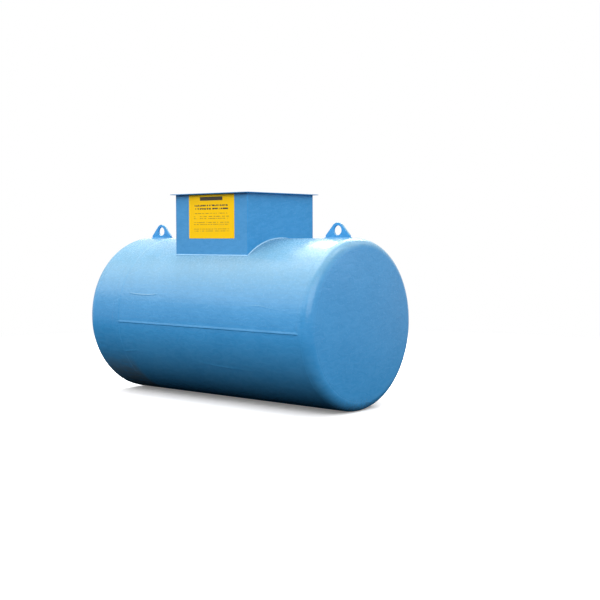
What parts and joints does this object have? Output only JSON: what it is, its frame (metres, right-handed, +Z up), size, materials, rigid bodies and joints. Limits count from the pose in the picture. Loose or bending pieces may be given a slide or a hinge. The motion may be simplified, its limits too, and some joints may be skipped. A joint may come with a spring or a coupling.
{
  "type": "double wall underground storage tank",
  "caption": "Horizontal cylindrical double wall steel tank with flat flanged ends, two lifting lugs and a square open access well with an out-turned rim over the bolted manway.",
  "frame": {"origin": "on the ground, under the middle of the tank", "axes": "+X along the tank towards the near end, +Z up, +Y across the tank"},
  "size_m": [2.088, 1.1052, 1.3992],
  "materials": {
    "blue_coating": "gloss",
    "primed_steel": "matte",
    "bare_steel": "satin",
    "gasket_rubber": "matte",
    "brass_caps": "satin",
    "zinc_fittings": "satin"
  },
  "bodies": {
    "root": {"outer_shell_upper": "blue_coating", "outer_shell_lower": "blue_coating", "end_course_upper": "blue_coating", "end_course_lower": "blue_coating", "outer_head_near": "blue_coating", "outer_head_far": "blue_coating", "shell_seam_beads": "blue_coating", "inner_shell": "primed_steel", "inner_head_near": "primed_steel", "inner_head_far": "primed_steel", "spacer_hoops": "bare_steel", "lifting_lug_near": "blue_coating", "lifting_lug_far": "blue_coating", "well_wall_near": "blue_coating", "well_wall_right": "blue_coating", "well_wall_far": "blue_coating", "well_wall_left": "blue_coating", "well_end_welds": "blue_coating", "well_side_welds": "blue_coating", "manway_neck": "blue_coating", "manway_flange": "blue_coating", "manway_gasket": "gasket_rubber", "manway_cover": "blue_coating", "fill_pipe": "zinc_fittings", "fill_cap": "brass_caps", "vent_socket": "zinc_fittings", "suction_socket": "zinc_fittings", "return_socket": "zinc_fittings", "gauge_socket": "zinc_fittings", "gauge_cap": "brass_caps", "monitor_socket": "zinc_fittings", "monitor_plug": "brass_caps"}
  },
  "joints": []
}
